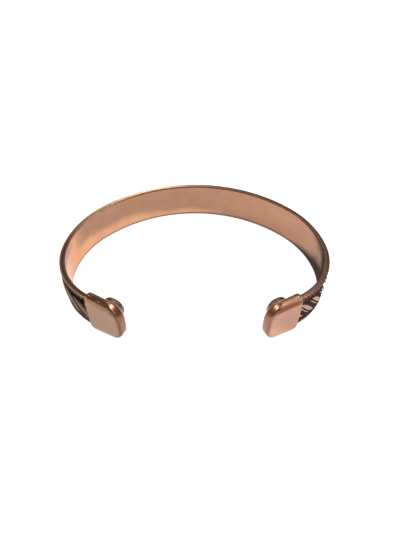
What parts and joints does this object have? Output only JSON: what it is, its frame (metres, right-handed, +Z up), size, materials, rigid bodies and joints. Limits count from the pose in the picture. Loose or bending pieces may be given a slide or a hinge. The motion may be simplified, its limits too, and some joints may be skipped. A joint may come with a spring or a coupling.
{
  "type": "copper cuff bracelet",
  "caption": "Open C-shaped copper cuff with a twisted rope pattern, smooth end caps and a round magnet inside each cap, worn round the wrist.",
  "frame": {"origin": "on the table under the middle of the cuff's width and depth, level with the lowest points of the caps", "axes": "+X along the cuff's width, from the left cap to the right; +Y from the gap towards the middle of the back; +Z up, across the band, as the cuff lies on its edge"},
  "size_m": [0.0676, 0.0477, 0.0131],
  "materials": {
    "band_copper": "polished copper with a blackened ground in the pattern",
    "cap_copper": "smooth pale copper, softly polished",
    "magnet_copper": "dark copper plating, glossy"
  },
  "bodies": {
    "root": {"band": "band_copper", "cap_left": "cap_copper", "cap_right": "cap_copper", "magnet_left": "magnet_copper", "magnet_right": "magnet_copper"}
  },
  "joints": []
}
